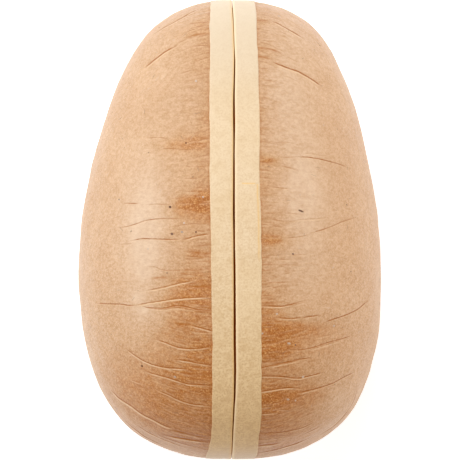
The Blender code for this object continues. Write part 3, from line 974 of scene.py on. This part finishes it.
def pressPaper(mesh, side):
    skin = skinOf(mesh)
    relief = Relief(mesh)
    for number, (kind, strength, *path) in enumerate(creases[side]):
        hits = [onPaper(skin, x, y) for x, y in smoothPath(np.reshape(path, (-1, 2)))]
        line = [hit for hit in hits if hit is not None]
        relief.crease(kind, strength, line, number + 100)
    draw = np.random.default_rng(unseen["seed"][side])
    for number in range(unseen["folds"]):
        kind = unseen["kinds"][number % len(unseen["kinds"])]
        start = draw.choice(unseen["starts"]) + draw.uniform(0, 0.08)
        alpha = math.pi + draw.uniform(-1.45, 1.45)
        randomCrease(relief, side, draw, kind, alpha, start, draw.uniform(*unseen["length"]))
    for number in range(streaks["count"] + streaks["gathered"]):
        start = 0.12 + 0.22 * draw.uniform() ** 2
        alpha = draw.uniform(0, 2 * math.pi)
        if number >= streaks["count"]:
            alpha = draw.normal(streaks["around"], streaks["spread"])
        randomCrease(relief, side, draw, "streak", alpha, start, draw.uniform(*streaks["length"]))
    pixel = view["distance"] * pixelReach
    up = np.array(viewUp)
    right = np.array(viewRight)
    for x, y, width, height, strength in stains[side]:
        relief.soak(onPaper(skin, x, y), right, up, np.array([width, height]) * pixel, strength)
    for _ in range(unseen["stains"]):
        alpha = math.pi + draw.uniform(-1.4, 1.4)
        climbs = np.array([0.2, 0.2]) + draw.uniform(0, 0.15)
        spot = shellLine(side, np.array([alpha, alpha + 0.01]), climbs)
        along = (spot[1] - spot[0]) / np.linalg.norm(spot[1] - spot[0])
        size = (draw.uniform(*unseen["stainLong"]) * mm, draw.uniform(*unseen["stainWide"]) * mm)
        relief.soak(spot[0], right, along, size, draw.uniform(*unseen["stainDark"]))
    inner = values(mesh, "climb") < 0
    lumps = sum(
        height * softField(relief.where, wavelength * mm, seed + sides[side])
        for height, wavelength, seed in paperLumps
    )
    alpha, climb = values(mesh, "rimAngle"), values(mesh, "climb")
    aside = np.abs((relief.where - np.array(placement.translation))[:, 0])
    past = aside - tapeEdge(side, alpha)  # how far a point lies beyond the tape's edge
    bare = smoothStep(-0.9 * mm, -0.2 * mm, past)
    nearTape = np.exp(-np.maximum(past, 0) / wrinkles["reach"])
    ring = ringSpots(alpha, past / mm * wrinkles["stretch"])
    crinkle = softField(ring, wrinkles["wavelength"], 51 + sides[side], 40)
    crinkle += 1.4 * softField(ring, 3 * wrinkles["wavelength"], 53 + sides[side], 40)
    height = puckers(side, alpha, climb) + lumps * mm + relief.height
    height += wrinkles["height"] * crinkle * nearTape
    height = height * bare - shell["tuck"] * (1 - bare)
    height[inner] = 0
    # painted shadow along the tape's edge
    edgeShadow = tapeEdgeShadow["ink"] * np.exp(-((past / tapeEdgeShadow["width"]) ** 2))
    keepValues(mesh, "nearTape", nearTape)
    # painted shade: the streaks' dark lines and the shadow along the tape's edge
    keepValues(mesh, "ink", np.maximum(relief.ink, edgeShadow) * bare)
    # painted highlight on the streaks' crests
    keepValues(mesh, "worn", relief.worn * bare)
    relief.lines[:, :, 1:] *= bare[:, None]
    for layer, line in enumerate(relief.lines):
        made = mesh.attributes.new("crease" + str(layer), "FLOAT_VECTOR", "POINT")
        made.data.foreach_set("vector", line.astype(np.float32).ravel())
    # glue stain above 0, painted sheen below 0
    keepValues(mesh, "stain", relief.stain * bare)
    movePoints(mesh, settled(relief.where + relief.out * height[:, None], 0))


def showPiece(name, mesh, nodes):
    piece = bpy.data.objects.new(name, mesh)
    scene.collection.objects.link(piece)
    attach(piece, "root")
    if nodes:
        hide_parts(*nodes)
    return piece


shells = {}
for side in sides:
    mesh = growMesh("paper_shell_" + side, shellTree, shellInputs(side))
    keepRimAngle(mesh)
    closeRim(mesh, side)
    movePoints(mesh, placed(points(mesh)))
    pressPaper(mesh, side)
    shells[side] = showPiece("paper_shell_" + side, mesh, ["shell_" + side])
    print(mesh.name, "pressed,", len(mesh.polygons), "faces")


def loft(name, rings, paper, closedSection):  # skins rings of points, all with the same count
    count, across = rings.shape[:2]
    mesh = bpy.data.meshes.new(name)
    work = bmesh.new()
    made = [[work.verts.new(point) for point in ring] for ring in rings]
    for row in range(count):
        after = made[(row + 1) % count]
        for step in range(across if closedSection else across - 1):
            other = (step + 1) % across
            work.faces.new((made[row][step], made[row][other], after[other], after[step]))
    if not closedSection:
        for step, turned in ((0, False), (across - 1, True)):
            edge = [made[row][step] for row in range(count)]
            middle = work.verts.new(sum((vert.co for vert in edge), Vector()) / count)
            for row in range(count):
                work.faces.new((edge[row], edge[(row + 1) % count], middle))
    bmesh.ops.recalc_face_normals(work, faces=work.faces)
    writeMesh(work, mesh)
    mesh.materials.append(paper)
    mesh.shade_smooth()
    mesh.set_sharp_from_angle(angle=math.radians(50))
    return mesh


def overlapAt(side, alpha, fromEdge):  # how much the loose end covers, and the painted shadow line along its edge
    if side != overlap["side"]:
        return 0 * fromEdge, 0 * fromEdge
    along = alongOf(alpha)
    length = smoothStep(overlap["ends"] - 5, overlap["ends"], along) * (np.cos(alpha) > 0)
    inset = fromEdge - overlap["inset"]
    covered = length * (along < overlap["starts"]) * smoothStep(0.0, 0.2, inset)
    beside = np.exp(-((inset + 0.05) / 0.22) ** 2) * (along < overlap["starts"])
    across = np.exp(-((along - overlap["starts"] - 0.18) / 0.22) ** 2) * smoothStep(0.3, 0.9, inset)
    return covered, overlap["line"] * length * np.maximum(beside, across * (fromEdge < 5.6))


def tapeSection(side, alpha):  # (x, offset, painted shade, below 0 painted highlight) round the folded strip, each as long as alpha
    face = halfGap(side, alpha)
    edge = tapeEdge(side, alpha)
    proud = egg["tapeProud"]
    thick = tape["thick"] * mm
    bend = tape["round"] * mm
    fold = -tape["fold"] * mm
    level = 0 * face
    section = [(face, level + fold, level + 1), (face, level + (proud - bend + fold) / 2, level + 1)]
    for turn, tint in zip(np.radians([0, 22.5, 45, 67.5]), tape["foldShadeAndHighlight"][side]):
        x = face + bend * (1 - math.cos(turn))
        section.append((x, level + proud - bend * (1 - math.sin(turn)), level + tint))
    for share in np.linspace(0, 1, 22):
        x = face + bend + (edge - 0.08 * mm - face - bend) * share
        spot = ringSpots(alpha, x / mm)
        bulge = 0.7 * softField(spot, 9, 31 + sides[side]) + 0.5 * softField(spot, 3.2, 33 + sides[side])
        rise = proud + tape["wrinkle"] * mm * bulge * math.sin(math.pi * min(1, share + 0.25))
        covered, line = overlapAt(side, alpha, (edge - x) / mm)
        line = line + tape["foldShadeAndHighlight"][side][-1] * np.exp(-((x - face - bend) / (0.35 * mm)) ** 2)
        section.append((x, rise + overlap["rise"] * mm * covered, line))
    section.append((edge, level + proud - 0.1 * mm, level))
    section.append((edge - 0.03 * mm, level + proud - thick, level))
    section.append((face + thick, level + proud - thick, level + 1))
    section.append((face + thick, level + fold, level + 1))
    return section


def tapeAngles():  # columns lie closer on the seen face
    turns = np.linspace(0, 2 * math.pi, tape["columns"], endpoint=False)
    return turns - 0.35 * np.sin(turns)


def makeTape(side):
    alpha = tapeAngles()
    section = tapeSection(side, alpha)
    rings = [settled(placed(rimPoints(side, x, alpha, offset)), offset) for x, offset, _ in section]
    name = "rim_tape_" + side
    mesh = loft(name, np.stack(rings, axis=1), creamTape, True)
    # painted shade and highlight of the fold and the loose end's edge
    keepValues(mesh, "fold", np.stack([tint for _, _, tint in section], axis=1).ravel())
    showPiece(name, mesh, ["tape_" + side])
    print(name, "folded,", len(mesh.polygons), "faces")


for side in sides:
    makeTape(side)

collar = {"reach": 5.0 * mm, "inset": 2.3 * mm, "columns": 900, "round": 0.4 * mm}


def makeCollar():
    alpha = np.linspace(0, 2 * math.pi, collar["columns"], endpoint=False)
    rings = []
    reach, rounded = collar["reach"], collar["round"]
    between = np.linspace(-1.5, 1.5, 7) * mm
    for x in np.concatenate([[-reach, rounded - reach], between, [reach - rounded, reach]]):
        side = "left" if x < 0 else "right"
        drop = rounded if abs(x) > reach - rounded / 2 else 0
        rough = 0.05 * mm * softField(ringSpots(alpha, x / mm), 4, 61)
        rings.append(placed(rimPoints(side, abs(x), alpha, rough - collar["inset"] - drop)))
    mesh = loft("joining_collar", np.stack(rings, axis=1), collarCard, False)
    showPiece("joining_collar", mesh, ["collar"])


makeCollar()
print("collar in place")

# Stray flecks and fibres in the paper: x and y in the photograph, size in mm, stretch, and tone
flecks = {
    "left": [
        (186, 143, 0.35, 1.3, 0.0), (170, 207, 0.55, 1.2, 0.05), (172, 234, 0.55, 1.3, 0.15),
        (196, 232, 0.4, 1.0, 0.05), (167, 273, 0.3, 1.0, 0.1), (142, 366, 0.56, 1.0, 0.0),
        (196, 81, 0.5, 1.0, 1.0), (184, 223, 0.42, 1.0, 1.0), (119, 199.5, 0.32, 1.6, 0.3),
        (203, 197, 0.4, 1.2, 0.9), (182, 232, 0.45, 1.4, 0.6), (175, 377, 0.4, 1.6, 0.7),
    ],
    "right": [
        (301, 211, 0.42, 3.2, 0.12), (293, 254, 0.36, 1.4, 0.2), (279, 16, 0.45, 1.6, 0.9),
        (277, 314, 0.48, 1.0, 0.95), (334, 326, 0.5, 1.1, 0.9), (303, 377, 0.62, 1.0, 0.95),
        (288, 399.5, 0.5, 1.5, 0.85), (295.5, 400.6, 0.44, 1.0, 1.0), (289, 343.5, 0.45, 1.8, 0.9),
        (295.5, 345, 0.36, 1.0, 0.2), (351, 271.5, 0.3, 1.0, 0.2), (262.5, 333.5, 0.4, 1.0, 0.85),
    ],
    "scale": 0.74,
    "lean": -0.35,
    "strewn": 80,
    "fibres": 110,
    "seed": {"left": 71, "right": 72},
}


fleckInputs = {"thickness": 0.05 * mm, "paper": strayFleck}


def makeFleckTree():
    tree, given = newTree("strewnFlecks", fleckInputs)
    bit = addNode(tree, "GeometryNodeMeshIcoSphere", Radius=1.0, Subdivisions=2)

    def read(label, kind="FLOAT"):
        node = addNode(tree, "GeometryNodeInputNamedAttribute", Name=label)
        node.data_type = kind
        return Wire(tree, node.outputs["Attribute"])

    size = addNode(tree, "ShaderNodeCombineXYZ", X=read("size") * read("stretch"), Y=read("size"),
                   Z=given["thickness"])
    stood = addNode(tree, "FunctionNodeAlignRotationToVector", Vector=read("facing", "FLOAT_VECTOR"))
    twist = addNode(tree, "ShaderNodeCombineXYZ", Z=read("spin"))
    spun = addNode(tree, "FunctionNodeRotateRotation", Rotation=stood.outputs["Rotation"],
                   Rotate_By=twist.outputs[0])
    spun.rotation_space = "LOCAL"
    cloud = addNode(tree, "GeometryNodeMeshToPoints", Mesh=given["Geometry"])
    strewn = addNode(tree, "GeometryNodeInstanceOnPoints", Points=cloud.outputs[0],
                     Instance=bit.outputs["Mesh"], Rotation=spun.outputs["Rotation"], Scale=size.outputs[0])
    return endTree(tree, strewn.outputs[0], given["paper"],
                   "GeometryNodeRealizeInstances", "GeometryNodeSetShadeSmooth")


fleckTree = makeFleckTree()


def strewFlecks(side):
    mesh = shells[side].data
    skin = skinOf(mesh)
    draw = np.random.default_rng(flecks["seed"][side])
    spots = []
    for x, y, size, stretch, tone in flecks[side]:
        hit, facing, _, _ = skin.ray_cast(eye, photoRay(x, y))
        spots.append((hit, facing, size * flecks["scale"] * mm, stretch, tone, flecks["lean"]))
    for _ in range(flecks["strewn"] + flecks["fibres"]):
        alpha = np.array([draw.uniform(0, 2 * math.pi)])
        climb = np.array([math.asin(draw.uniform(0.2, 0.98))])
        aim = Vector(shellLine(side, alpha, climb)[0])
        hit, facing, _, _ = skin.find_nearest(aim)
        fibre = len(spots) >= len(flecks[side]) + flecks["strewn"]
        size = draw.uniform(0.03, 0.05) if fibre else 0.06 + 0.16 * draw.uniform() ** 2
        stretch = draw.uniform(12, 26) if fibre else draw.uniform(1, 1.8)
        tone = draw.choice([0.3, 0.9]) if fibre else draw.choice([0.05, 0.15, 0.9])
        spots.append((hit, facing, size * mm, stretch, tone, draw.uniform(0, 6.28)))
    base = bpy.data.meshes.new("fleckSpots_" + side)
    base.from_pydata([tuple(spot[0]) for spot in spots], [], [])
    facing = base.attributes.new("facing", "FLOAT_VECTOR", "POINT")
    facing.data.foreach_set("vector", np.array([tuple(spot[1]) for spot in spots], np.float32).ravel())
    for label, column in (("size", 2), ("stretch", 3), ("tone", 4), ("spin", 5)):
        keepValues(base, label, np.array([spot[column] for spot in spots]))
    name = "paper_flecks_" + side
    grown = growMesh(name, fleckTree, fleckInputs, base)
    showPiece(name, grown, [])
    print(name, "strewn,", len(grown.polygons), "faces")


for side in sides:
    strewFlecks(side)

# Pale floor and soft studio light. Lights are aimed at the egg, places in metres from its middle
studio = {
    "floor": 12.0,
    "floorLook": {"pale": (0.96, 0.96, 0.96, 1), "paler": (0.97, 0.97, 0.97, 1), "roughness": 0.9},
    "sky": (1.0, 0.67, 0.4, 1),
    "skyStrength": 0.32,
    "floorGlow": 0.66,
    "glowColour": (0.82, 0.9, 1.0, 1),
    "lights": {  # place, size, power and colour
        "keySoftbox": ((-0.12, 0.38, 0.53), 0.45, 2.78, (0.9, 0.94, 0.98)),
        "overSoftbox": ((-0.25, 0.1, 0.85), 0.6, 0.64, (1.0, 0.87, 0.72)),
        "headSoftbox": ((0.0, 0.75, 0.2), 0.6, 0.15, (0.3, 0.6, 1.0)),
        "footSoftbox": ((0.0, -0.6, 0.45), 0.5, 0.24, (1.0, 0.82, 0.58)),
        "leftSoftbox": ((-0.75, 0.05, 0.22), 0.6, 2.02, (0.9, 0.97, 1.0)),
        "rightSoftbox": ((0.75, 0.05, 0.22), 0.6, 2.12, (1.0, 0.96, 0.88)),
    },
}


def makeStudio():
    bpy.ops.mesh.primitive_plane_add(size=studio["floor"], location=(0, 0, cadBox[0].z - 0.1 * mm))
    floor = bpy.context.object
    floor.name = "studioFloor"
    paint = Paint("paleFloor", studio["floorLook"], "pale")
    paint.tint(paint.noise(6, 2), "paler")
    paint.shader["Emission Color"].default_value = studio["glowColour"]
    paint.shader["Emission Strength"].default_value = studio["floorGlow"]
    floor.data.materials.append(paint.finish())
    world = bpy.data.worlds.new("studioSky")
    world.use_nodes = True
    sky = world.node_tree.nodes["Background"]
    sky.inputs["Color"].default_value = studio["sky"]
    sky.inputs["Strength"].default_value = studio["skyStrength"]
    scene.world = world
    middle = Vector((0, 0, (cadBox[0].z + cadBox[1].z) / 2))
    for name, (place, size, power, colour) in studio["lights"].items():
        data = bpy.data.lights.new(name, "AREA")
        data.size = size
        data.energy = power
        data.color = colour
        lamp = bpy.data.objects.new(name, data)
        lamp.location = middle + Vector(place)
        lamp.rotation_euler = (-Vector(place)).to_track_quat("-Z", "Y").to_euler()
        scene.collection.objects.link(lamp)
    scene.view_settings.view_transform = "Standard"
    scene.view_settings.look = "None"


makeStudio()
print("studio lit")
